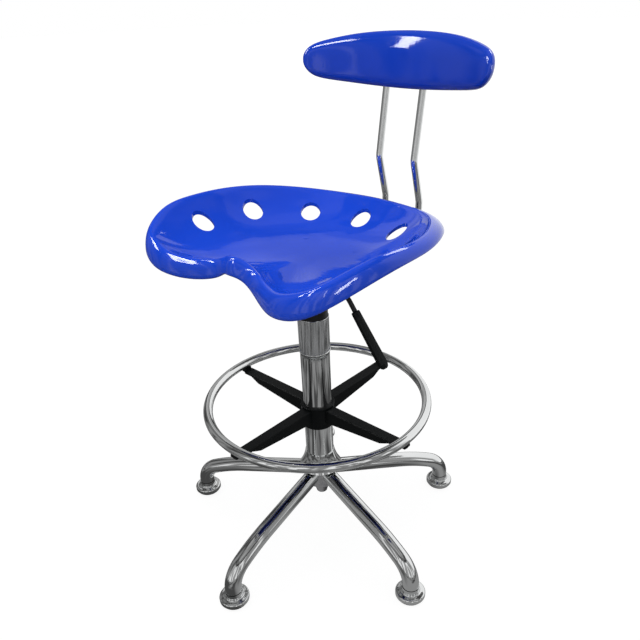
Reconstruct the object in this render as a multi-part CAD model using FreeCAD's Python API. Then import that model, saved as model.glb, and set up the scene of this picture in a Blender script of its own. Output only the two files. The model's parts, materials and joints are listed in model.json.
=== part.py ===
"""Height-adjustable work stool: a moulded tractor seat and a narrow backrest on a gas column,
with a sliding foot ring and five arched tube legs on bell-shaped glides.

Frame: millimetres, +Z up, origin on the floor under the column's axis. One leg points along -Y.
The seat, with its back and its height lever, is drawn facing -Y with +X at the sitter's left, then
turned by SEAT_TURN about the column.
"""
import FreeCAD, Part
import math
import os
from FreeCAD import Vector

# Driving dimensions
COLUMN_R = 25.0
COLUMN_TOP = 420.0
LEG_COUNT = 5
FOOT_CIRCLE_R = 251.0
LEG_R = 14.0
LEG_WALL = 1.6
RING_R = 189.0
RING_TUBE_R = 8.0
RING_Z = 268.0
RING_TURN = -6.0
SEAT_TURN = -7.6
RUNNING_GAP = 0.05

# Base: the hub, the legs and the cone that hides the welds
HUB_R = 30.0
HUB_BOTTOM = 88.0
HUB_TOP = 128.0
COVER_TOP = 158.0
COVER_BOTTOM = 125.0
COVER_BOTTOM_R = 39.0
COVER_WALL = 1.5
LEG_ROOT = (20.0, 111.0)
LEG_KNEE = (192.0, 79.3)
LEG_ANKLE_Z = 55.3
LEG_END_Z = 25.0
KNEE_BEND_R = 330.0
ANKLE_BEND_R = 42.0
LEG_NAMES = ("front", "left", "rear_left", "rear_right", "right")

# Glides
GLIDE_R = 25.0
GLIDE_BELL_BOTTOM = 3.0
GLIDE_BELL_TOP = 24.5
GLIDE_STEM_R = 5.0
GLIDE_STEM_TOP = 46.0
SOCKET_FLANGE = 0.4
PLUG_GAP = 0.15

# Column, inside and out
COLUMN_WALL = 1.8
TAPER_TOP = 140.0
TAPER_IN = 1.3
FLOOR_THICK = 4.0
BEARING_BOTTOM = HUB_BOTTOM + FLOOR_THICK
SLEEVE_R = 25.9
SLEEVE_BOTTOM = 364.0
SLEEVE_TOP = 428.0
BUSH_BOTTOM = 330.0
PRESSURE_R = 14.0
PRESSURE_WALL = 1.5
PRESSURE_BOTTOM = 118.0
HEAD_TAPER_BOTTOM = 438.0
HEAD_TOP = 474.0
HEAD_TAPER_IN = 1.0
ROD_R = 5.0
ROD_BOTTOM = 78.0
CLIP_BOTTOM = 84.8
CLIP_THICK = 1.5
PISTON_BOTTOM = 396.0
PISTON_TOP = 408.0
PIN_R = 4.0
PIN_TOP = 479.8

# Foot ring hub
COLLET_BOTTOM = 221.0
COLLET_TOP = 262.0
COLLET_WALL = 0.9
RING_HUB_BOTTOM = 218.5
RING_HUB_TOP = 258.0
RING_HUB_BOTTOM_R = 27.6
RING_HUB_TOP_R = 29.0
RING_LIP_R = 30.0
SPOKE_COUNT = 4
SPOKE_WIDTH = 20.0
SPOKE_WALL = 2.6
SPOKE_DEPTH_AT_HUB = 26.0
SPOKE_DEPTH_AT_NECK = 13.0
SPOKE_NECK = 153.0
SPOKE_TIP_THICK = 4.5
SPOKE_TIP = 193.5
SPOKE_TIP_WIDTH = 13.0

# Seat pan: stations of the rim's crest on one side, from the rear round to the front. Each has its
# half width, its place behind the column, its height, and how far the flange reaches out and down.
RIM = (
    (0.0, 158.0, 583.0, 24.0, 30.0),
    (58.0, 153.0, 583.0, 24.0, 28.0),
    (112.0, 131.0, 586.5, 23.0, 24.0),
    (153.0, 93.0, 593.0, 21.5, 18.0),
    (184.0, 47.0, 598.5, 19.5, 14.5),
    (203.5, -4.0, 600.5, 17.5, 15.0),
    (206.0, -58.0, 601.5, 15.5, 20.0),
    (200.0, -112.0, 597.0, 14.0, 26.0),
    (179.0, -156.0, 580.0, 13.0, 30.0),
    (152.0, -170.0, 567.0, 13.0, 33.0),
    (121.0, -170.0, 557.5, 13.0, 31.0),
    (84.0, -157.0, 552.0, 12.5, 29.0),
    (45.0, -141.0, 555.5, 12.0, 27.0),
    (18.0, -139.0, 566.0, 12.5, 26.0),
    (0.0, -144.0, 570.5, 12.5, 26.0),
)
DISH_CENTRE = (0.0, -20.0)
DISH_Z = 528.0
PAN_THICK = 4.5
# how far out from the dish's centre each ring lies, and how much of the rim's rise it has
DISH_RINGS = (
    (0.12, 0.0), (0.35, 0.03), (0.58, 0.14), (0.78, 0.42), (0.90, 0.72), (0.965, 0.93), (1.0, 1.0),
)
# how much of the flange's reach and of its drop each outer ring has
FLANGE_RINGS = ((0.38, 0.10), (0.72, 0.34), (0.92, 0.65), (1.0, 1.0))
HOLE_R = 16.4
HOLE_TURN = 1.5
# seat vent holes on one side, from the rear: half width and place behind the column
HOLES = ((0.0, 123.0), (90.5, 99.5), (155.5, 28.0), (169.5, -65.5))
# bosses for the seat bolts: place, then the height at which each runs into the pan
BOSSES = ((58.0, 50.0, 533.0), (-58.0, 50.0, 533.0), (58.0, -58.0, 529.0), (-58.0, -58.0, 529.0))
BOSS_R = 10.0

# Seat plate and taper socket
PLATE_Z = 500.0
PLATE_THICK = 3.0
PLATE_HALF = (74.0, 72.0)
PLATE_FLANGE = 12.0
SOCKET_R = 24.5
SOCKET_BOTTOM = 424.0
SOCKET_CAVITY_R = 16.5
BOLT_R = 4.0
BOLT_HEAD_R = 6.5
BOLT_HEAD_H = 5.0
BOLT_TIP = 518.0

# Back rods and the saddles that clamp them to the plate
ROD_SPACING = 72.0
BACK_ROD_R = 6.0
BACK_ROD_PATH = ((-46.0, 509.0), (228.0, 509.0), (228.0, 568.0), (209.5, 636.0), (235.0, 794.0))
BACK_ROD_BENDS = (28.0, 24.0, 24.0)
SADDLE_PLACES = (-40.0, 36.0)
SADDLE_WIDTH = 20.0
SADDLE_THICK = 2.5
SCREW_R = 2.5

# Backrest: its plan curve, its middle behind the column, then stations out from the middle
BACK_CURVE_R = 352.0
BACK_MIDDLE = (233.0, 780.5)
BACK_LEAN = 0.16
# the backrest sits a little askew on its rods
BACK_YAW = -0.012
BACK_ROLL = -0.009
BACK_SECTIONS = (
    (0.0, 81.0, 30.0, 0.0),
    (60.0, 77.5, 30.0, 0.2),
    (105.0, 70.0, 29.0, 0.0),
    (140.0, 60.5, 27.0, -1.5),
    (160.0, 52.0, 25.0, -2.0),
    (172.0, 40.0, 21.0, -1.0),
    (178.5, 25.0, 15.0, 0.0),
    (181.0, 10.0, 7.0, 0.0),
)
# the section's shape from its front round over the top: across and up, each as a share of its half size
BACK_OUTLINE = ((-1.0, 0.0), (-0.88, 0.62), (-0.45, 0.94), (0.12, 1.0), (0.64, 0.86), (0.93, 0.5),
                (1.0, 0.0), (0.93, -0.5), (0.64, -0.86), (0.12, -1.0), (-0.45, -0.94), (-0.88, -0.62))

# Height lever
LEVER_R = 3.8
LEVER_EYE_R = 5.5
LEVER_SLOT = 5.4
LEVER_Z = 484.0
LEVER_BEND_X = 74.0
LEVER_END = (150.6, 385.0)
LEVER_PIVOT_X = 20.0
GRIP_LENGTH = 97.0
GRIP_START_R = 7.2
GRIP_END_R = 8.6


def cylinder(radius, bottom, top, x=0.0, y=0.0):
    return Part.makeCylinder(radius, top - bottom, Vector(x, y, bottom))


def tube(outer, inner, bottom, top):
    return cylinder(outer, bottom, top).cut(cylinder(inner, bottom, top))


def turned(outline):
    """A solid of revolution about Z. An outline point is (r, z), or (r, z, through_r, through_z) for an
    arc that ends there and passes through the second pair."""
    edges = []
    last = outline[-1][:2]
    for point in outline:
        start, end = Vector(last[0], 0, last[1]), Vector(point[0], 0, point[1])
        if len(point) == 4:
            edges.append(Part.Arc(start, Vector(point[2], 0, point[3]), end).toShape())
        elif (end - start).Length > 1e-6:
            edges.append(Part.LineSegment(start, end).toShape())
        last = point[:2]
    face = Part.Face(Part.Wire(edges))
    return face.revolve(Vector(0, 0, 0), Vector(0, 0, 1), 360)


def rounded_path(points, bends):
    """A wire of straight runs joined by tangent arcs, one bend radius for each inner point."""
    edges = []
    start = points[0]
    for before, corner, after, radius in zip(points, points[1:], points[2:], bends):
        run_in = (corner - before).normalize()
        run_out = (after - corner).normalize()
        half_turn = run_in.getAngle(run_out) / 2
        reach = radius * math.tan(half_turn)
        arc_start, arc_end = corner - run_in * reach, corner + run_out * reach
        inward = (run_out - run_in).normalize()
        middle = corner + inward * (radius / math.cos(half_turn) - radius)
        edges.append(Part.LineSegment(start, arc_start).toShape())
        edges.append(Part.Arc(arc_start, middle, arc_end).toShape())
        start = arc_end
    edges.append(Part.LineSegment(start, points[-1]).toShape())
    return Part.Wire(edges)


def swept_bar(path, radius):
    first = path.Edges[0]
    along = first.tangentAt(first.FirstParameter)
    circle = Part.Wire(Part.makeCircle(radius, first.valueAt(first.FirstParameter), along))
    return path.makePipeShell([circle], True, False)


def about_z(shape, degrees):
    copy = shape.copy()
    copy.rotate(Vector(0, 0, 0), Vector(0, 0, 1), degrees)
    return copy


def leg_angle(index):
    return -90.0 + index * 360.0 / LEG_COUNT


def seat_turned(shape):
    return about_z(shape, SEAT_TURN)


# Base

def base_hub():
    """The welded hub with the tapered bore that holds the column."""
    taper_rate = TAPER_IN / (TAPER_TOP - HUB_BOTTOM)
    bore_top = COLUMN_R - taper_rate * (TAPER_TOP - HUB_TOP)
    bore_bottom = COLUMN_R - TAPER_IN
    return turned([(bore_bottom, HUB_BOTTOM), (HUB_R - 1, HUB_BOTTOM), (HUB_R, HUB_BOTTOM + 1),
                   (HUB_R, HUB_TOP - 1), (HUB_R - 1, HUB_TOP), (bore_top, HUB_TOP)])


def hub_cover():
    """The chromed cone that slips down the column over the welds."""
    top_r = COLUMN_R + 1.6
    rim = COVER_BOTTOM_R
    outer_mid = (top_r + 3.6, (COVER_TOP + COVER_BOTTOM) / 2 + 2)
    return turned([(COLUMN_R, COVER_TOP), (top_r, COVER_TOP), (rim, COVER_BOTTOM, *outer_mid),
                   (rim - COVER_WALL, COVER_BOTTOM),
                   (COLUMN_R, COVER_TOP - 4, outer_mid[0] - COVER_WALL, outer_mid[1] - COVER_WALL)])


def leg_path():
    ankle = (FOOT_CIRCLE_R, LEG_ANKLE_Z)
    points = [LEG_ROOT, LEG_KNEE, ankle, (FOOT_CIRCLE_R, LEG_END_Z)]
    return rounded_path([Vector(r, 0, z) for r, z in points], (KNEE_BEND_R, ANKLE_BEND_R))


def leg():
    """A bent tube along +X, mitred round the hub."""
    path = leg_path()
    wall = swept_bar(path, LEG_R).cut(swept_bar(path, LEG_R - LEG_WALL))
    return wall.cut(cylinder(HUB_R, HUB_BOTTOM - 20, HUB_TOP + 20))


def glide_socket():
    """The plug in a leg's lower end, bored for the glide's stem."""
    bore = GLIDE_STEM_R + RUNNING_GAP
    inner = LEG_R - LEG_WALL - PLUG_GAP
    low = LEG_END_Z - SOCKET_FLANGE
    high = LEG_END_Z + 12
    plug = turned([(bore, low), (LEG_R, low), (LEG_R, LEG_END_Z), (inner, LEG_END_Z), (inner, LEG_END_Z + 3),
                   (inner - 2.2, high), (bore, high)])
    plug.translate(Vector(FOOT_CIRCLE_R, 0, 0))
    return plug


def glide_bell():
    """The chromed bell with its stem, which turns in the socket."""
    low = GLIDE_BELL_BOTTOM
    neck_top = GLIDE_BELL_TOP - 0.6
    bell = turned([(0, low), (GLIDE_R - 1.5, low), (GLIDE_R, low + 2), (GLIDE_R, 9.0),
                   (22.5, 13.0, 24.3, 11.9), (18.5, 13.5), (15.6, 17.5, 16.4, 14.6),
                   (14.6, neck_top), (GLIDE_STEM_R, neck_top), (GLIDE_STEM_R, GLIDE_STEM_TOP - 1),
                   (GLIDE_STEM_R - 1, GLIDE_STEM_TOP), (0, GLIDE_STEM_TOP)])
    bell.translate(Vector(FOOT_CIRCLE_R, 0, 0))
    return bell


def glide_pad():
    pad = turned([(0, 0), (GLIDE_R - 3.5, 0), (GLIDE_R - 2.5, 1), (GLIDE_R - 2.5, GLIDE_BELL_BOTTOM),
                  (0, GLIDE_BELL_BOTTOM)])
    pad.translate(Vector(FOOT_CIRCLE_R, 0, 0))
    return pad


# Gas column

def column_tube():
    """The outer tube: a straight bore, a tapered foot for the hub and a floor for the piston rod."""
    bore = COLUMN_R - COLUMN_WALL
    foot_r = COLUMN_R - TAPER_IN
    floor_top = HUB_BOTTOM + FLOOR_THICK
    return turned([(ROD_R + RUNNING_GAP, HUB_BOTTOM), (foot_r, HUB_BOTTOM), (COLUMN_R, TAPER_TOP),
                   (COLUMN_R, COLUMN_TOP), (bore, COLUMN_TOP), (bore, TAPER_TOP),
                   (bore - TAPER_IN, floor_top), (ROD_R + RUNNING_GAP, floor_top)])


def column_sleeve():
    """The chromed sleeve pressed over the tube's upper end, with its lower lip rolled in."""
    lip = (SLEEVE_R, SLEEVE_BOTTOM + 2.4, SLEEVE_R - 0.15, SLEEVE_BOTTOM + 1.0)
    return turned([(COLUMN_R, SLEEVE_BOTTOM), (COLUMN_R + 0.3, SLEEVE_BOTTOM), lip,
                   (SLEEVE_R, SLEEVE_TOP - 0.5), (SLEEVE_R - 0.3, SLEEVE_TOP), (COLUMN_R, SLEEVE_TOP)])


def guide_bush():
    """The long bush in the column's mouth that guides the pressure tube."""
    bore = PRESSURE_R + RUNNING_GAP
    outer = COLUMN_R - COLUMN_WALL
    return turned([(bore, BUSH_BOTTOM), (outer - 1, BUSH_BOTTOM), (outer, BUSH_BOTTOM + 4),
                   (outer, COLUMN_TOP - 1), (bore + 2, COLUMN_TOP + 1.5), (bore, COLUMN_TOP)])


def foot_cap():
    """The tapered cap that closes the column's foot over the rod's end."""
    return turned([(20, HUB_BOTTOM), (20, HUB_BOTTOM - 2), (18.5, HUB_BOTTOM - 2.5), (10.2, 61.5),
                   (9, 59, 9.9, 59.8), (6.5, 58), (0, 58), (0, 74), (11, 76), (12.5, HUB_BOTTOM)])


def lower_race():
    low = BEARING_BOTTOM
    return turned([(ROD_R + 0.5, low), (17, low), (17, low + 2.5), (13.5, low + 2.5), (11.5, low + 1.6),
                   (9.5, low + 2.5), (ROD_R + 0.5, low + 2.5)])


def ball_cage():
    """The bearing's row of balls in their cage, as one closed ring."""
    low = BEARING_BOTTOM + 2.6
    return turned([(8.7, low + 0.4), (9.5, low), (11.5, low - 0.9), (13.5, low), (14.3, low + 0.4),
                   (14.3, low + 2.4), (13.5, low + 2.8), (11.5, low + 3.7), (9.5, low + 2.8),
                   (8.7, low + 2.4)])


def upper_race():
    low = BEARING_BOTTOM + 5.5
    return turned([(ROD_R, low), (9.5, low), (11.5, low + 0.9), (13.5, low), (17, low), (17, low + 2.5),
                   (ROD_R, low + 2.5)])


def bump_stop():
    """The rubber ring that the pressure tube comes down on."""
    low = BEARING_BOTTOM + 8.0
    high = PRESSURE_BOTTOM - 0.1
    return turned([(ROD_R, low), (14.5, low), (15, low + 3), (13, high), (ROD_R, high)])


def piston_rod():
    """The rod that the pressure tube slides over, with a groove for the clip under the floor."""
    groove = ROD_R - 0.8
    clip_top = CLIP_BOTTOM + CLIP_THICK
    return turned([(0, ROD_BOTTOM), (ROD_R - 1, ROD_BOTTOM), (ROD_R, ROD_BOTTOM + 1), (ROD_R, CLIP_BOTTOM),
                   (groove, CLIP_BOTTOM), (groove, clip_top), (ROD_R, clip_top), (ROD_R, PISTON_BOTTOM),
                   (0, PISTON_BOTTOM)])


def rod_washer():
    return tube(11.0, ROD_R, CLIP_BOTTOM + CLIP_THICK + 0.1, HUB_BOTTOM - 0.1)


def rod_clip():
    """The split clip that keeps the rod from pulling up through the floor."""
    clip = tube(8.0, ROD_R - 0.8, CLIP_BOTTOM, CLIP_BOTTOM + CLIP_THICK)
    return clip.cut(Part.makeBox(8, 4, 4, Vector(3, -2, CLIP_BOTTOM - 1)))


def piston_head():
    bore = PRESSURE_R - PRESSURE_WALL - RUNNING_GAP
    return turned([(0, PISTON_BOTTOM), (bore, PISTON_BOTTOM), (bore, PISTON_BOTTOM + 4),
                   (bore - 1.5, PISTON_BOTTOM + 5), (bore - 1.5, PISTON_TOP - 5), (bore, PISTON_TOP - 4),
                   (bore, PISTON_TOP), (0, PISTON_TOP)])


def pressure_tube():
    """The moving tube: a bore for the piston and a tapered head that seats in the socket."""
    bore = PRESSURE_R - PRESSURE_WALL
    head = PRESSURE_R - HEAD_TAPER_IN
    pin_bore = PIN_R + RUNNING_GAP
    plug_low = HEAD_TOP - 14
    return turned([(bore, PRESSURE_BOTTOM), (PRESSURE_R, PRESSURE_BOTTOM), (PRESSURE_R, HEAD_TAPER_BOTTOM),
                   (head, HEAD_TOP - 1), (head - 1, HEAD_TOP), (pin_bore, HEAD_TOP), (pin_bore, plug_low),
                   (bore, plug_low)])


def rod_seal():
    bore = PRESSURE_R - PRESSURE_WALL
    return tube(bore, ROD_R + RUNNING_GAP, PRESSURE_BOTTOM, PRESSURE_BOTTOM + 7)


def actuator_pin():
    low = HEAD_TOP - 10
    return turned([(0, low), (PIN_R, low), (PIN_R, PIN_TOP - 0.8), (PIN_R - 0.8, PIN_TOP), (0, PIN_TOP)])


# Foot ring

def ring_collet():
    """The split collet that the hub draws tight on the column."""
    inner = COLUMN_R + RUNNING_GAP
    outer = inner + COLLET_WALL
    collet = turned([(inner, COLLET_BOTTOM), (outer, COLLET_BOTTOM), (outer, RING_HUB_TOP + 0.7),
                     (RING_LIP_R - 0.6, RING_HUB_TOP + 0.7), (RING_LIP_R, RING_HUB_TOP + 1.3),
                     (RING_LIP_R, COLLET_TOP - 1.2), (RING_LIP_R - 1.2, COLLET_TOP), (inner, COLLET_TOP)])
    slit_height = RING_HUB_TOP - COLLET_BOTTOM - 6
    slit = Part.makeBox(2 * RING_LIP_R, 1.6, slit_height, Vector(-RING_LIP_R, -0.8, COLLET_BOTTOM))
    return collet.cut(slit).cut(about_z(slit, 90))


def spoke():
    """One spoke along +X: an inverted channel that necks down to a thin tip under the ring."""
    top = RING_HUB_TOP
    start = COLUMN_R + COLLET_WALL + 1.0
    tip_low = top - SPOKE_TIP_THICK
    neck = Vector(SPOKE_NECK - 8, 0, top - SPOKE_DEPTH_AT_NECK)
    throat = Vector(SPOKE_NECK + 10, 0, tip_low)
    curve = Part.Arc(neck, Vector(SPOKE_NECK + 1, 0, tip_low - 4.4), throat).toShape()
    outline = [(SPOKE_TIP - 1, tip_low), (SPOKE_TIP, tip_low + 1), (SPOKE_TIP, top), (start, top),
               (start, top - SPOKE_DEPTH_AT_HUB)]
    corners = [throat] + [Vector(x, 0, z) for x, z in outline] + [neck]
    lines = [Part.LineSegment(a, b).toShape() for a, b in zip(corners, corners[1:])]
    face = Part.Face(Part.Wire([curve] + lines))
    face.translate(Vector(0, -SPOKE_WIDTH / 2, 0))
    bar = face.extrude(Vector(0, SPOKE_WIDTH, 0))
    long_top = [e for e in bar.Edges if e.BoundBox.ZMin > top - 0.01 and e.BoundBox.XLength > 100]
    bar = bar.makeChamfer(1.2, long_top)
    for edge in (-SPOKE_TIP_WIDTH / 2 - SPOKE_WIDTH, SPOKE_TIP_WIDTH / 2):
        bar = bar.cut(Part.makeBox(20, SPOKE_WIDTH, 20, Vector(RING_R - 7, edge, top - 15)))
    hollow_width = SPOKE_WIDTH - 2 * SPOKE_WALL
    hollow_low = top - SPOKE_WALL - SPOKE_DEPTH_AT_HUB
    start = Vector(34, -hollow_width / 2, hollow_low)
    hollow = Part.makeBox(SPOKE_NECK - 46, hollow_width, SPOKE_DEPTH_AT_HUB, start)
    for x in (66.0, 104.0):
        rib = Part.makeBox(2.0, hollow_width, SPOKE_DEPTH_AT_HUB, Vector(x, -hollow_width / 2, hollow_low))
        hollow = hollow.cut(rib)
    cradle = Part.makeBox(12, SPOKE_TIP_WIDTH, 5, Vector(RING_R - 8, -SPOKE_TIP_WIDTH / 2, top - 0.5))
    return bar.cut(hollow).fuse(cradle)


def ring_hub():
    """The black moulding: a hub barrel and four spokes, cradling the ring at their tips."""
    bore = COLUMN_R + COLLET_WALL + 2 * RUNNING_GAP
    hub = turned([(bore, RING_HUB_BOTTOM), (RING_HUB_BOTTOM_R, RING_HUB_BOTTOM),
                  (RING_HUB_TOP_R, RING_HUB_TOP - 8), (RING_HUB_TOP_R, RING_HUB_TOP), (bore, RING_HUB_TOP)])
    for index in range(SPOKE_COUNT):
        hub = hub.fuse(about_z(spoke(), RING_TURN + index * 360.0 / SPOKE_COUNT))
    hub = hub.cut(cylinder(bore, RING_HUB_BOTTOM - 1, RING_HUB_TOP + 1))
    return hub.cut(ring_bar()).cut(ring_screws()).removeSplitter()


def ring_bar():
    return Part.makeTorus(RING_R, RING_TUBE_R, Vector(0, 0, RING_Z))


def ring_screws():
    """Pan-head screws that rise through the spoke tips into the ring."""
    head_top = RING_HUB_TOP - SPOKE_TIP_THICK
    screw = turned([(0, head_top - 2), (2.5, head_top - 2), (4.5, head_top), (SCREW_R, head_top),
                    (SCREW_R, RING_Z - 3), (0, RING_Z - 3)])
    screw.translate(Vector(RING_R, 0, 0))
    turns = [RING_TURN + index * 360.0 / SPOKE_COUNT for index in range(SPOKE_COUNT)]
    return Part.makeCompound([about_z(screw, turn) for turn in turns])


def foot_ring():
    return ring_bar().cut(ring_screws())


# Seat pan

def rim_stations():
    """The rim's stations all the way round, starting at the rear and going over the sitter's left."""
    left = list(RIM)
    right = [(-x, y, z, out, down) for x, y, z, out, down in reversed(RIM[1:-1])]
    return left + right


def outward(stations, index):
    """The plan direction square to the rim at a station, pointing away from the dish."""
    before, after = stations[index - 1], stations[(index + 1) % len(stations)]
    along = Vector(after[0] - before[0], after[1] - before[1], 0).normalize()
    normal = Vector(-along.y, along.x, 0)
    x, y = stations[index][:2]
    away = Vector(x - DISH_CENTRE[0], y - DISH_CENTRE[1], 0)
    return normal if normal.dot(away) > 0 else normal * -1


def ring_spline(points):
    """A closed curve through the points, one knot for each, so that matching rings make one skin."""
    spline = Part.BSplineCurve()
    knots = [float(i) for i in range(len(points) + 1)]
    spline.interpolate(Points=points, PeriodicFlag=True, Parameters=knots)
    return spline


def skinned_solid(rings):
    """A solid under one smooth skin that runs along a row of closed rings. The first and the last ring are
    flat and are capped; the skin passes through those two and is drawn smoothly past the rest."""
    splines = [ring_spline(ring) for ring in rings]
    around = splines[0]
    inner = len(rings) - 4
    skin = Part.BSplineSurface()
    skin.buildFromPolesMultsKnots([spline.getPoles() for spline in splines],
                                  [4] + [1] * inner + [4], around.getMultiplicities(),
                                  [float(i) for i in range(inner + 2)], around.getKnots(),
                                  False, True, 3, 3)
    caps = [Part.Face(Part.Wire(spline.toShape())) for spline in (splines[0], splines[-1])]
    shell = Part.Shell([skin.toShape()] + caps)
    shell.sewShape()
    solid = Part.Solid(shell)
    if solid.Volume < 0:
        solid.reverse()
    return solid


def pan_profile(station, away):
    """The pan's section from the dish's centre to the flange's lip and back along the underside."""
    x, y, z, out, down = station
    centre_x, centre_y = DISH_CENTRE
    top = []
    for reach, rise in DISH_RINGS:
        flat = Vector(centre_x + (x - centre_x) * reach, centre_y + (y - centre_y) * reach, 0)
        top.append(flat + Vector(0, 0, DISH_Z + (z - DISH_Z) * rise))
    for reach, drop in FLANGE_RINGS:
        top.append(Vector(x, y, z - down * drop) + away * (out * reach))
    under = [top[0] - Vector(0, 0, PAN_THICK)]
    for before, point, after in zip(top, top[1:], top[2:] + top[-1:]):
        along = after - before
        square = along.cross(Vector(0, 0, 1)).cross(along).normalize()
        under.append(point - square * PAN_THICK)
    return top + under[::-1]


def seat_shell():
    """The dished pan, its rolled rim and its flange as one thin moulding."""
    stations = rim_stations()
    profiles = [pan_profile(station, outward(stations, index)) for index, station in enumerate(stations)]
    return skinned_solid([list(ring) for ring in zip(*profiles)])


def vent_hole(x, y):
    """An upright round cutter, as the mould's core pin is, turned a little about the dish's centre."""
    pin = cylinder(HOLE_R, DISH_Z - 2 * PAN_THICK, DISH_Z + 90, x, y)
    pin.rotate(Vector(*DISH_CENTRE, 0), Vector(0, 0, 1), HOLE_TURN)
    return pin


def seat_pan():
    pan = seat_shell()
    for x, y in HOLES:
        for side in (-1, 1) if x else (1,):
            pan = pan.cut(vent_hole(side * x, y))
    plate_top = PLATE_Z + PLATE_THICK
    for x, y, top in BOSSES:
        pan = pan.fuse(cylinder(BOSS_R, plate_top, top, x, y))
        pan = pan.cut(cylinder(BOLT_R, plate_top - 1, BOLT_TIP, x, y))
    return pan


# Under the seat

def seat_plate():
    """A pressed tray with turned-down edges, bored for the seat bolts and the saddle screws."""
    half_x, half_y = PLATE_HALF
    outer = Part.makeBox(2 * half_x, 2 * half_y, PLATE_FLANGE + PLATE_THICK,
                         Vector(-half_x, -half_y, PLATE_Z - PLATE_FLANGE))
    corners = [e for e in outer.Edges if e.BoundBox.ZLength > PLATE_FLANGE]
    outer = outer.makeFillet(22.0, corners)
    inner = Part.makeBox(2 * (half_x - PLATE_THICK), 2 * (half_y - PLATE_THICK), PLATE_FLANGE,
                         Vector(-half_x + PLATE_THICK, -half_y + PLATE_THICK, PLATE_Z - PLATE_FLANGE))
    corners = [e for e in inner.Edges if e.BoundBox.ZLength > PLATE_FLANGE - 0.1]
    plate = outer.cut(inner.makeFillet(19.0, corners))
    plate = plate.cut(cylinder(SOCKET_CAVITY_R, PLATE_Z - 1, PLATE_Z + 9))
    for x, y, _ in BOSSES:
        plate = plate.cut(cylinder(BOLT_R + 0.4, PLATE_Z - 1, PLATE_Z + 9, x, y))
    lever_notch = Part.makeBox(10, 14, PLATE_FLANGE - 2, Vector(half_x - 5, -7, PLATE_Z - PLATE_FLANGE))
    return plate.cut(saddle_screws()).cut(lever_notch)


def taper_socket():
    """The socket welded under the plate: it seats on the tube's tapered head and carries the lever."""
    head = PRESSURE_R - HEAD_TAPER_IN
    mouth = PRESSURE_R + 0.6
    slot_low = HEAD_TOP + 1
    body = turned([(mouth, SOCKET_BOTTOM), (SOCKET_R - 1, SOCKET_BOTTOM), (SOCKET_R, SOCKET_BOTTOM + 1),
                   (SOCKET_R, PLATE_Z), (SOCKET_CAVITY_R, PLATE_Z), (SOCKET_CAVITY_R, slot_low),
                   (head, HEAD_TOP - 1), (PRESSURE_R, HEAD_TAPER_BOTTOM), (mouth, HEAD_TAPER_BOTTOM - 2)])
    slot = Part.makeBox(20, 2 * LEVER_SLOT, PLATE_Z - slot_low, Vector(10, -LEVER_SLOT, slot_low))
    pivot = Part.makeCylinder(SCREW_R, 40, Vector(LEVER_PIVOT_X, -20, LEVER_Z), Vector(0, 1, 0))
    return body.cut(slot).cut(pivot)


def seat_bolts():
    """Hexagon-headed bolts from under the plate into the pan's bosses."""
    corners = [Vector(BOLT_HEAD_R, 0, PLATE_Z - BOLT_HEAD_H)] * 7
    corners = [about_z(Part.Vertex(corner), 60 * step).Point for step, corner in enumerate(corners)]
    head = Part.Face(Part.makePolygon(corners)).extrude(Vector(0, 0, BOLT_HEAD_H))
    bolt = head.fuse(cylinder(BOLT_R, PLATE_Z - 1, BOLT_TIP)).removeSplitter()
    return Part.makeCompound([bolt.translated(Vector(x, y, 0)) for x, y, _ in BOSSES])


def back_rod(side):
    """One bent rod: along under the pan, up behind it, forward at the waist and into the backrest."""
    x = side * ROD_SPACING / 2
    points = [Vector(x, y, z) for y, z in BACK_ROD_PATH]
    return swept_bar(rounded_path(points, BACK_ROD_BENDS), BACK_ROD_R).cut(back_screws())


def rod_saddle(y):
    """A pressed strap over both rods, screwed down to the plate beside and between them."""
    low = PLATE_Z + PLATE_THICK
    rod_z = BACK_ROD_PATH[0][1]
    high = rod_z + BACK_ROD_R + SADDLE_THICK
    half = BACK_ROD_R + SADDLE_THICK
    strap = Part.makeBox(ROD_SPACING, SADDLE_WIDTH, SADDLE_THICK, Vector(-ROD_SPACING / 2, y, low))
    for x in (-ROD_SPACING / 2, ROD_SPACING / 2):
        strap = strap.fuse(Part.makeBox(2 * half, SADDLE_WIDTH, high - low, Vector(x - half, y, low)))
    for x in (-ROD_SPACING / 2, ROD_SPACING / 2):
        gap = Part.makeBox(2 * BACK_ROD_R, SADDLE_WIDTH, rod_z - low, Vector(x - BACK_ROD_R, y, low))
        arch = Part.makeCylinder(BACK_ROD_R, SADDLE_WIDTH, Vector(x, y, rod_z), Vector(0, 1, 0))
        strap = strap.cut(gap).cut(arch)
    return strap.removeSplitter()


def rod_saddles():
    return Part.makeCompound([rod_saddle(y).cut(saddle_screws()) for y in SADDLE_PLACES])


def saddle_screws():
    top = PLATE_Z + PLATE_THICK + SADDLE_THICK
    screws = []
    for saddle in SADDLE_PLACES:
        y = saddle + SADDLE_WIDTH / 2
        for x in (-15.0, 15.0):
            head = cylinder(4.5, top, top + 3, x, y)
            shank = cylinder(SCREW_R, PLATE_Z - 6, top + 1, x, y)
            screws.append(head.fuse(shank).removeSplitter())
    return Part.makeCompound(screws)


# Backrest

def back_section(x, height, thick, shift):
    """A rounded section of the backrest square to X, as points round it from the front."""
    y_middle, z_middle = BACK_MIDDLE
    y_curved = y_middle + x * BACK_YAW - (BACK_CURVE_R - math.sqrt(BACK_CURVE_R ** 2 - x * x))
    points = []
    for across, up in BACK_OUTLINE:
        z = z_middle + shift + x * BACK_ROLL + up * height / 2
        points.append(Vector(x, y_curved + (z - z_middle) * BACK_LEAN + across * thick / 2, z))
    return points


def backrest():
    right = [(-x, *rest) for x, *rest in reversed(BACK_SECTIONS[1:])]
    body = skinned_solid([back_section(*station) for station in right + list(BACK_SECTIONS)])
    for side in (-1, 1):
        body = body.cut(back_rod(side)).cut(rod_socket(side))
    return body.cut(back_screws())


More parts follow.
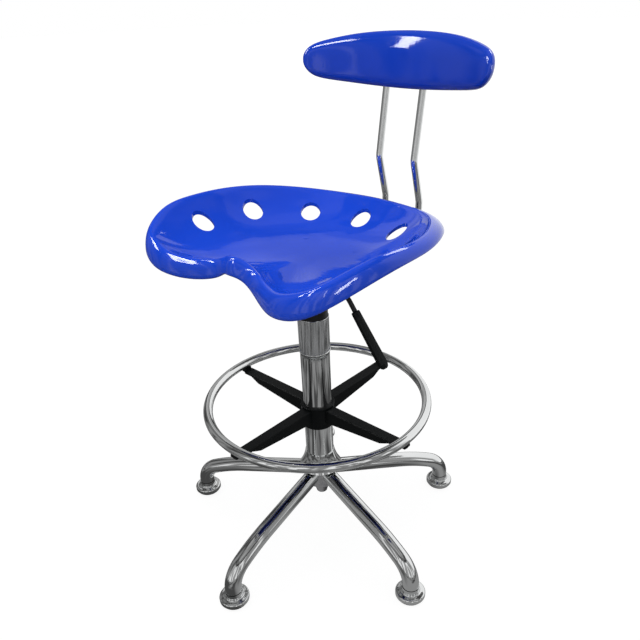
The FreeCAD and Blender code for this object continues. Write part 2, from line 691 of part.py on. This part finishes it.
def rod_top(side):
    """Where a rod ends in the backrest, and the direction that it has there."""
    (y0, z0), (y1, z1) = BACK_ROD_PATH[-2:]
    x = side * ROD_SPACING / 2
    return Vector(x, y1, z1), Vector(0, y1 - y0, z1 - z0).normalize()


def rod_socket(side):
    """The moulded-in socket round a rod's upper end."""
    end, along = rod_top(side)
    start = end - along * 44
    sleeve = Part.makeCylinder(BACK_ROD_R + 2.5, 46, start, along)
    return sleeve.cut(Part.makeCylinder(BACK_ROD_R, 44, start, along))


def rod_sockets():
    return Part.makeCompound([rod_socket(side).cut(back_screws()) for side in (-1, 1)])


def back_screws():
    """Screws from behind that pin the sockets to the rods."""
    screws = []
    for side in (-1, 1):
        end, along = rod_top(side)
        middle = end - along * 20
        shank = Part.makeCylinder(1.8, 18, middle + Vector(0, -1, 0), Vector(0, 1, 0))
        head = Part.makeCylinder(3.5, 2.4, middle + Vector(0, 14.6, 0), Vector(0, 1, 0))
        screws.append(shank.fuse(head).removeSplitter())
    return Part.makeCompound(screws)


# Height lever

def lever_rod():
    """The bent rod: its inner end rests over the actuator pin, its outer end carries the grip."""
    bend = Vector(LEVER_BEND_X, 0, LEVER_Z)
    end = Vector(LEVER_END[0], 0, LEVER_END[1])
    stop = bend + (end - bend) * 0.9
    rod = swept_bar(rounded_path([Vector(-6, 0, LEVER_Z), bend, stop], (22.0,)), LEVER_R)
    half_eye = LEVER_SLOT - 0.4
    along = Vector(0, 1, 0)
    eye = Part.makeCylinder(LEVER_EYE_R, 2 * half_eye, Vector(LEVER_PIVOT_X, -half_eye, LEVER_Z), along)
    bore = Part.makeCylinder(SCREW_R + RUNNING_GAP, 20, Vector(LEVER_PIVOT_X, -10, LEVER_Z), along)
    return rod.fuse(eye).cut(bore)


def lever_pivot():
    return Part.makeCylinder(SCREW_R, 2 * 14.2, Vector(LEVER_PIVOT_X, -14.2, LEVER_Z), Vector(0, 1, 0))


def lever_grip():
    """The eight-sided moulded grip, thicker towards its rounded end."""
    end = Vector(LEVER_END[0], 0, LEVER_END[1])
    along = (end - Vector(LEVER_BEND_X, 0, LEVER_Z)).normalize()
    across = Vector(0, 1, 0)
    up = along.cross(across)

    def octagon(back, radius):
        corners = []
        for step in range(9):
            angle = math.radians(22.5 + 45 * step)
            corners.append(end - along * back + (across * math.cos(angle) + up * math.sin(angle)) * radius)
        return Part.makePolygon(corners)

    stations = ((GRIP_LENGTH, GRIP_START_R - 1), (GRIP_LENGTH - 1.5, GRIP_START_R), (8, GRIP_END_R),
                (2.5, GRIP_END_R - 2), (0, GRIP_END_R - 5))
    grip = Part.makeLoft([octagon(back, radius) for back, radius in stations], True, True)
    return grip.cut(lever_rod())


def main():
    os.makedirs("parts", exist_ok=True)
    parts = {
        "base_hub": base_hub(),
        "hub_cover": hub_cover(),
        "column_tube": column_tube(),
        "column_sleeve": column_sleeve(),
        "guide_bush": guide_bush(),
        "foot_cap": foot_cap(),
        "bearing_lower_race": lower_race(),
        "bearing_ball_cage": ball_cage(),
        "bearing_upper_race": upper_race(),
        "bump_stop": bump_stop(),
        "piston_rod": piston_rod(),
        "piston_head": piston_head(),
        "rod_washer": rod_washer(),
        "rod_clip": rod_clip(),
        "ring_collet": ring_collet(),
        "ring_hub": ring_hub(),
        "foot_ring": foot_ring(),
        "ring_screws": ring_screws(),
    }
    for index, name in enumerate(LEG_NAMES):
        angle = leg_angle(index)
        parts["leg_" + name] = about_z(leg(), angle)
        parts["glide_socket_" + name] = about_z(glide_socket(), angle)
        parts["glide_bell_" + name] = about_z(glide_bell(), angle)
        parts["glide_pad_" + name] = about_z(glide_pad(), angle)
    on_seat = {
        "pressure_tube": pressure_tube(),
        "rod_seal": rod_seal(),
        "actuator_pin": actuator_pin(),
        "seat_pan": seat_pan(),
        "seat_plate": seat_plate(),
        "taper_socket": taper_socket(),
        "seat_bolts": seat_bolts(),
        "back_rod_left": back_rod(1),
        "back_rod_right": back_rod(-1),
        "rod_saddles": rod_saddles(),
        "saddle_screws": saddle_screws(),
        "backrest": backrest(),
        "rod_sockets": rod_sockets(),
        "back_screws": back_screws(),
        "lever_rod": lever_rod(),
        "lever_pivot": lever_pivot(),
        "lever_grip": lever_grip(),
    }
    for name, shape in on_seat.items():
        parts[name] = seat_turned(shape)
    for name, shape in parts.items():
        shape.exportStep(os.path.join("parts", name + ".step"))
        volume = shape.Volume / 1000
        print(f"{name}: solids {len(shape.Solids)}, valid {shape.isValid()}, volume {volume:.2f} cm3")


main()
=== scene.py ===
"""Looks for the tractor seat stool: materials, small visible details, studio and camera.

Everything is in metres in the CAD frame: +Z up, origin on the floor under the gas column. Only the
sections of the small turned rings are written in millimetres.
"""
import json
import math

import bpy
from mathutils import Matrix, Vector


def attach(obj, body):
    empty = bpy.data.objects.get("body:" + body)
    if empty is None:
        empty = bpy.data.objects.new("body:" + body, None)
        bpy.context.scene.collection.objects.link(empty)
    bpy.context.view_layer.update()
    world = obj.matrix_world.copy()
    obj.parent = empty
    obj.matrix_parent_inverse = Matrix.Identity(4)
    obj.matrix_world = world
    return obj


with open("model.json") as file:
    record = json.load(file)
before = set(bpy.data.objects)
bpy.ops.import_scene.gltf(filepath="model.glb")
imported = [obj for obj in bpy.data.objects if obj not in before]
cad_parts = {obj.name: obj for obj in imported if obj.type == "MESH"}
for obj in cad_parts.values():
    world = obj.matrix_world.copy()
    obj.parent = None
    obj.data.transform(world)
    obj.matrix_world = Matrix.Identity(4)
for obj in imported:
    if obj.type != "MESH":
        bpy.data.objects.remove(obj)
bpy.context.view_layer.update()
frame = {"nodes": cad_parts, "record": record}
nodes = frame["nodes"]

SMOOTH_UP_TO_DEG = 28  # faces that meet at a sharper angle keep their edge
WELD_M = 0.00001
RING_STEPS = 96

# Places that the lamps are set out from
SEAT = (0.0, 0.0, 0.58)
BACKREST = (0.05, 0.2, 0.78)
RIGHT_LOBE = (0.1, -0.1, 0.57)
LAMP_DISTANCE = 2.4

# The high lamp's tube: its near part lights all that isn't chrome, its far part only the seat
TUBE_START = (-0.735, -0.46, 2.06)
TUBE_SPLIT = (-0.77, -0.75, 2.06)
TUBE_END = (-0.97, -2.4, 2.06)

# The set of cards, with a white gap for the window. Bearings are in degrees from +X towards +Y.
WINDOW_START, WINDOW_END = 32, 116
WINDOW_EDGE_END = 124
REAR_LEFT_END = 160
LEFT_END = 236
FULL_TURN = 360
WINDOW_FADE_DEG = 14
SET_RADIUS = 2.6
SET_HEIGHT = 2.9
CARD_LIFT = 0.0002  # holds the floor's cards off the floor
FLOOR_DROP = 0.0004
FLOOR_SIZE = 60
NEAR_FLOOR_RADIUS = 0.95
CEILING_RADIUS = 1.35
CEILING_WINDOW_RADIUS = 2.35
WALL_STEPS = 16
DISC_STEPS = 32

# Camera, fitted to the photograph
CAMERA_PLACE = (0.5587, -0.7015, 0.8573)
CAMERA_RIGHT = Vector((0.8109, 0.5843, -0.03225))
CAMERA_UP = Vector((-0.27576, 0.43014, 0.85962))
CAMERA_LENS_MM = 34.48
CAMERA_SHIFT = (-0.0174, 0.0762)
SENSOR_MM = 36.0


# Node trees

def new_material(name):
    material = bpy.data.materials.new(name)
    material.use_nodes = True
    return material, material.node_tree, material.node_tree.nodes["Principled BSDF"]


def add(tree, kind, **inputs):
    """A node of that kind with its inputs set. An input that is a socket is linked."""
    node = tree.nodes.new(kind)
    for name, value in inputs.items():
        socket = node.inputs[name.replace("_", " ")]
        if isinstance(value, bpy.types.NodeSocket):
            tree.links.new(value, socket)
        else:
            socket.default_value = value
    return node


def object_coords(tree):
    return add(tree, "ShaderNodeTexCoord").outputs["Object"]


def noise(tree, scale, detail=3.0, roughness=0.5):
    return add(tree, "ShaderNodeTexNoise", Vector=object_coords(tree), Scale=scale, Detail=detail,
               Roughness=roughness).outputs["Fac"]


def feed(tree, shader, **sources):
    """Links each source to the shader's input of that name."""
    for name, source in sources.items():
        tree.links.new(source, shader.inputs[name.replace("_", " ")])


def ramp(tree, factor, *stops):
    """Colours or grey levels along a factor. A stop is (position, value)."""
    node = add(tree, "ShaderNodeValToRGB", Fac=factor)
    while len(node.color_ramp.elements) < len(stops):
        node.color_ramp.elements.new(0.5)
    for element, (position, value) in zip(node.color_ramp.elements, stops):
        element.position = position
        element.color = (*value, 1) if isinstance(value, tuple) else (value, value, value, 1)
    return node.outputs["Color"]


def bump(tree, height, strength, distance, normal=None):
    node = add(tree, "ShaderNodeBump", Height=height, Strength=strength, Distance=distance)
    if normal is not None:
        tree.links.new(normal, node.inputs["Normal"])
    return node.outputs["Normal"]


# Materials

def chrome(name, tint=(0.78, 0.79, 0.79), roughness=(0.05, 0.10)):
    """Bright plate: faint smears in the roughness and the slight waviness of polished tube."""
    material, tree, shader = new_material(name)
    shader.inputs["Metallic"].default_value = 1.0
    low, high = roughness
    dull = tuple(0.9 * c for c in tint)
    feed(tree, shader,
         Roughness=ramp(tree, noise(tree, 38.0, 5.0, 0.6), (0.35, low), (0.8, high)),
         Base_Color=ramp(tree, noise(tree, 9.0, 4.0), (0.3, dull), (0.62, tint)),
         Normal=bump(tree, noise(tree, 55.0, 2.0), 0.03, 0.0006))
    return material


def gloss_plastic(name, deep, bright):
    """Glossy moulded plastic: a slight orange peel on a broad, shallow waviness."""
    material, tree, shader = new_material(name)
    shader.inputs["Specular IOR Level"].default_value = 0.5
    peel = bump(tree, noise(tree, 170.0, 2.0), 0.05, 0.0004)
    feed(tree, shader,
         Base_Color=ramp(tree, noise(tree, 6.0), (0.3, deep), (0.7, bright)),
         Roughness=ramp(tree, noise(tree, 60.0, 4.0, 0.6), (0.3, 0.05), (0.75, 0.10)),
         Normal=bump(tree, noise(tree, 14.0, 1.0), 0.06, 0.002, peel))
    return material


def moulded(name, colour, roughness, grain_scale, grain, sheen):
    """Black moulding, paint or rubber: mottled in tone and roughness, with a fine grain."""
    material, tree, shader = new_material(name)
    shader.inputs["Specular IOR Level"].default_value = sheen
    low, high = roughness
    lighter = tuple(1.35 * c for c in colour)
    feed(tree, shader,
         Base_Color=ramp(tree, noise(tree, 30.0, 4.0), (0.3, colour), (0.75, lighter)),
         Roughness=ramp(tree, noise(tree, 90.0), (0.3, low), (0.75, high)),
         Normal=bump(tree, noise(tree, grain_scale, 2.0, 0.7), grain, 0.0005))
    return material


def zinc(name):
    """Zinc-plated steel with the brushed mottling of small hardware."""
    material, tree, shader = new_material(name)
    shader.inputs["Metallic"].default_value = 1.0
    dark, light = (0.42, 0.42, 0.44), (0.6, 0.6, 0.6)
    feed(tree, shader,
         Base_Color=ramp(tree, noise(tree, 120.0, 4.0), (0.3, dark), (0.7, light)),
         Roughness=ramp(tree, noise(tree, 260.0, 4.0), (0.3, 0.25), (0.7, 0.42)),
         Normal=bump(tree, noise(tree, 400.0, 2.0), 0.1, 0.0002))
    return material


FINISHES = {
    "chrome": chrome("bright_chrome"),
    "blue_plastic": gloss_plastic("blue_gloss", (0.005, 0.046, 0.49), (0.007, 0.052, 0.53)),
    "black_plastic": moulded("black_moulding", (0.0025, 0.0032, 0.0034), (0.34, 0.44),
                             700.0, 0.12, 0.12),
    "black_steel": moulded("black_powder_coat", (0.008, 0.008, 0.009), (0.32, 0.42),
                           420.0, 0.3, 0.2),
    "steel": zinc("zinc_plate"),
    "rubber": moulded("dull_rubber", (0.012, 0.012, 0.012), (0.75, 0.9), 500.0, 0.3, 0.3),
}
DULL_CHROME = chrome("dull_chrome", (0.66, 0.67, 0.68), (0.10, 0.2))


def dress(node, material):
    """One material all over a node, shaded smooth except where its faces meet at an edge."""
    mesh = node.data
    mesh.materials.clear()
    mesh.materials.append(material)
    mesh.polygons.foreach_set("use_smooth", [True] * len(mesh.polygons))
    weld = node.modifiers.new("weld", "WELD")
    weld.merge_threshold = WELD_M
    split = node.modifiers.new("edges", "EDGE_SPLIT")
    split.split_angle = math.radians(SMOOTH_UP_TO_DEG)


# The small lamps light only what isn't chrome: the plate would turn them into hard white specks.
unplated = bpy.data.collections.new("unplated")
seat_only = bpy.data.collections.new("seat_only")
seat_only.objects.link(nodes["seat_pan"])
slot_of = {part["node"]: part["material_slot"] for part in frame["record"]["subparts"]}
for name, node in nodes.items():
    dress(node, FINISHES[slot_of[name]])
    if slot_of[name] != "chrome":
        unplated.objects.link(node)
# The photo's sleeve is duller than the tube, and the hub's foot is grey.
nodes["column_sleeve"].data.materials[0] = DULL_CHROME
nodes["base_hub"].data.materials[0] = FINISHES["steel"]


# Small visible details

def turned_ring(name, slot, body, section):
    """A closed section of (radius, height) in mm, outer side upwards, turned round the column."""
    turns = [2 * math.pi * step / RING_STEPS for step in range(RING_STEPS)]
    points = [(r * math.cos(a) / 1000, r * math.sin(a) / 1000, z / 1000)
              for a in turns for r, z in section]
    count = len(section)
    faces = []
    for step in range(RING_STEPS):
        here, there = step * count, (step + 1) % RING_STEPS * count
        faces += [(here + i, there + i, there + (i + 1) % count, here + (i + 1) % count)
                  for i in range(count)]
    mesh = bpy.data.meshes.new(name)
    mesh.from_pydata(points, [], faces)
    mesh.polygons.foreach_set("use_smooth", [True] * len(faces))
    mesh.materials.append(FINISHES[slot])
    ring = bpy.data.objects.new(name, mesh)
    bpy.context.scene.collection.objects.link(ring)
    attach(ring, body)


# The sleeve's rolled lip, polished by handling, and under it a black ring that paints the shadow
# line in the gap between sleeve and tube.
turned_ring("sleeve_lip_bead", "chrome", "base",
            [(25.5, 364.2), (26.0, 364.2), (26.3, 364.6), (26.42, 365.2),
             (26.42, 365.9), (26.3, 366.5), (26.0, 366.9), (25.5, 366.9)])
# Painted shadow: a thin black plastic ring set where the gap under the lip is only in shade.
turned_ring("sleeve_painted_shadow_line", "black_plastic", "base",
            [(24.8, 362.9), (25.15, 362.9), (25.2, 363.2),
             (25.2, 363.8), (25.15, 364.1), (24.8, 364.1)])


# Studio

def emission(tree, colour, strength):
    return add(tree, "ShaderNodeEmission", Color=colour, Strength=strength).outputs["Emission"]


def seen_directly(tree):
    """One for the rays that show the white surroundings: camera, glossy and transmission."""
    path = add(tree, "ShaderNodeLightPath")
    total = path.outputs["Is Camera Ray"]
    for kind in ("Is Glossy Ray", "Is Transmission Ray"):
        step = tree.nodes.new("ShaderNodeMath")
        step.operation = "MAXIMUM"
        tree.links.new(total, step.inputs[0])
        tree.links.new(path.outputs[kind], step.inputs[1])
        total = step.outputs[0]
    return total


def seen_from(origin, bearing, rise):
    """A lamp's place in a direction from there: its bearing, and its rise above the horizon."""
    bearing, rise = math.radians(bearing), math.radians(rise)
    level = math.cos(rise)
    along = (level * math.cos(bearing), level * math.sin(bearing), math.sin(rise))
    return Vector(origin) + LAMP_DISTANCE * Vector(along)


def lamp(name, start, end, width, power, target=SEAT, lit=unplated):
    """A soft strip lamp from place to place that faces the target and lights one set of parts."""
    start, end = Vector(start), Vector(end)
    middle = (start + end) / 2
    along = (end - start).normalized()
    away = middle - Vector(target)
    out = (away - away.dot(along) * along).normalized()
    data = bpy.data.lights.new(name, "AREA")
    data.shape = "RECTANGLE"
    data.size, data.size_y = (end - start).length, width
    data.energy = power
    light = bpy.data.objects.new(name, data)
    facing = Matrix((along, out.cross(along), out)).transposed().to_4x4()
    light.matrix_world = Matrix.Translation(middle) @ facing
    light.light_linking.receiver_collection = lit
    bpy.context.scene.collection.objects.link(light)


def white_world(low, high):
    """White where it is seen. As light on the stool it grows from the horizon up."""
    world = bpy.data.worlds.new("studio")
    bpy.context.scene.world = world
    world.use_nodes = True
    tree = world.node_tree
    direction = add(tree, "ShaderNodeTexCoord").outputs["Generated"]
    height = add(tree, "ShaderNodeSeparateXYZ", Vector=direction).outputs["Z"]
    falling = add(tree, "ShaderNodeMapRange", Value=height, To_Min=low, To_Max=high)
    strength = add(tree, "ShaderNodeMapRange", Value=seen_directly(tree),
                   To_Min=falling.outputs["Result"], To_Max=1.0)
    background = tree.nodes["Background"]
    background.inputs["Color"].default_value = (1, 1, 1, 1)
    tree.links.new(strength.outputs["Result"], background.inputs["Strength"])


def floor():
    """A pale floor, lit up to white where it is seen, that keeps a faint shadow of the feet."""
    bpy.ops.mesh.primitive_plane_add(size=FLOOR_SIZE, location=(0, 0, -FLOOR_DROP))
    plane = bpy.context.object
    plane.name = "studio_floor"
    material, tree, shader = new_material("floor_paper")
    shader.inputs["Base Color"].default_value = (0.16, 0.16, 0.16, 1)
    shader.inputs["Roughness"].default_value = 0.9
    shader.inputs["Emission Color"].default_value = (1, 1, 1, 1)
    glow = add(tree, "ShaderNodeMapRange", Value=seen_directly(tree), To_Min=0.0, To_Max=0.90)
    tree.links.new(glow.outputs["Result"], shader.inputs["Emission Strength"])
    plane.data.materials.append(material)


def towards_window(tree):
    """Zero round most of the set, growing to one towards the bearings of the window."""
    flat = add(tree, "ShaderNodeMapping", Vector=object_coords(tree), Scale=(1, 1, 0))
    heading = tree.nodes.new("ShaderNodeVectorMath")
    heading.operation = "NORMALIZE"
    tree.links.new(flat.outputs["Vector"], heading.inputs[0])
    share = tree.nodes.new("ShaderNodeVectorMath")
    share.operation = "DOT_PRODUCT"
    tree.links.new(heading.outputs["Vector"], share.inputs[0])
    middle = math.radians((WINDOW_START + WINDOW_END) / 2)
    share.inputs[1].default_value = (math.cos(middle), math.sin(middle), 0)
    edge = math.radians((WINDOW_END - WINDOW_START) / 2)
    return add(tree, "ShaderNodeMapRange", Value=share.outputs["Value"],
               From_Min=math.cos(edge + math.radians(WINDOW_FADE_DEG)),
               From_Max=math.cos(edge)).outputs["Result"]


def mirror_card(name, points, faces, low, high, grain, fading=False):
    """A patchy grey card that only gloss and chrome show, like those set round silver."""
    mesh = bpy.data.meshes.new(name)
    mesh.from_pydata(points, [], faces)
    card = bpy.data.objects.new(name, mesh)
    bpy.context.scene.collection.objects.link(card)
    material, tree, _ = new_material(name)
    tree.nodes.clear()
    spread = add(tree, "ShaderNodeMapping", Vector=object_coords(tree), Scale=grain)
    pattern = add(tree, "ShaderNodeTexNoise", Vector=spread.outputs["Vector"], Scale=1.0,
                  Detail=2.0)
    grey = ramp(tree, pattern.outputs["Fac"], (0.44, low), (0.56, high))
    if fading:
        fade = tree.nodes.new("ShaderNodeMix")
        fade.data_type = "RGBA"
        tree.links.new(towards_window(tree), fade.inputs["Factor"])
        colour_a, colour_b, mixed = fade.inputs[6], fade.inputs[7], fade.outputs[2]
        tree.links.new(grey, colour_a)
        colour_b.default_value = (1, 1, 1, 1)
        grey = mixed
    output = tree.nodes.new("ShaderNodeOutputMaterial")
    tree.links.new(emission(tree, grey, 1.0), output.inputs["Surface"])
    mesh.materials.append(material)
    for ray in ("camera", "diffuse", "transmission", "volume_scatter", "shadow"):
        setattr(card, "visible_" + ray, False)


def bearings(start, end, steps):
    return [math.radians(start + (end - start) * step / steps) for step in range(steps + 1)]


def wall(name, start, end, low, high, grain=(1.6, 1.6, 0.25), fading=False):
    """A curved card from one bearing to another, standing on the set's edge."""
    points = [(SET_RADIUS * math.cos(b), SET_RADIUS * math.sin(b), z)
              for b in bearings(start, end, WALL_STEPS) for z in (0.0, SET_HEIGHT)]
    faces = [(2 * i, 2 * i + 2, 2 * i + 3, 2 * i + 1) for i in range(WALL_STEPS)]
    mirror_card(name, points, faces, low, high, grain, fading)


def disc(name, inner, outer, start, end, z, low, high, grain=1.5):
    """A level card between two radii and two bearings."""
    points = [(r * math.cos(b), r * math.sin(b), z)
              for b in bearings(start, end, DISC_STEPS) for r in (inner, outer)]
    faces = [(2 * i, 2 * i + 1, 2 * i + 3, 2 * i + 2) for i in range(DISC_STEPS)]
    mirror_card(name, points, faces, low, high, (grain, grain, grain))


white_world(0.12, 1.10)
floor()

next_window = FULL_TURN + WINDOW_START
wall("card_window_edge", WINDOW_END, WINDOW_EDGE_END, 0.03, 0.08)
wall("card_rear_left", WINDOW_EDGE_END, REAR_LEFT_END, 0.30, 0.60)
wall("card_left", REAR_LEFT_END, LEFT_END, 0.06, 0.30)
wall("card_front", LEFT_END, next_window, 0.28, 1.0, grain=(2.0, 2.0, 0.3), fading=True)
disc("card_above", 0.0, CEILING_RADIUS, 0, FULL_TURN, SET_HEIGHT, 0.25, 0.45)
disc("card_above_window", CEILING_RADIUS, CEILING_WINDOW_RADIUS, WINDOW_START, WINDOW_END,
     SET_HEIGHT, 0.05, 0.20)
disc("card_above_rest", CEILING_RADIUS, SET_RADIUS, WINDOW_END, next_window,
     SET_HEIGHT, 0.05, 0.20)
disc("card_near_floor", 0.0, NEAR_FLOOR_RADIUS, 0, FULL_TURN, CARD_LIFT, 0.07, 0.30, grain=4.5)
disc("card_far_floor", NEAR_FLOOR_RADIUS, SET_RADIUS, WINDOW_END, next_window,
     CARD_LIFT, 0.10, 0.35, grain=3.0)

lamp("high_left", TUBE_START, TUBE_SPLIT, 0.16, 3)
lamp("high_left_far", TUBE_SPLIT, TUBE_END, 0.16, 17, lit=seat_only)
lamp("low_left", seen_from(BACKREST, -139, 22), seen_from(BACKREST, -161, 45), 0.24, 16, BACKREST)
lamp("low_right", seen_from(RIGHT_LOBE, -15, 29), seen_from(RIGHT_LOBE, -38, 8), 0.32, 19,
     RIGHT_LOBE)
lamp("low_front", seen_from(RIGHT_LOBE, -61, 14), seen_from(RIGHT_LOBE, -63, 34), 0.10, 1.6,
     RIGHT_LOBE)
lamp("rear", seen_from(SEAT, 66, 46), seen_from(SEAT, 94, 46), 0.4, 8)


# Camera

camera_data = bpy.data.cameras.new("camera")
camera_data.sensor_width = SENSOR_MM
camera_data.lens = CAMERA_LENS_MM
camera_data.shift_x, camera_data.shift_y = CAMERA_SHIFT
camera = bpy.data.objects.new("camera", camera_data)
bpy.context.scene.collection.objects.link(camera)
back = CAMERA_RIGHT.cross(CAMERA_UP)
facing = Matrix((CAMERA_RIGHT, CAMERA_UP, back)).transposed().to_4x4()
camera.matrix_world = Matrix.Translation(CAMERA_PLACE) @ facing
bpy.context.scene.camera = camera
bpy.context.scene.view_settings.view_transform = "Standard"
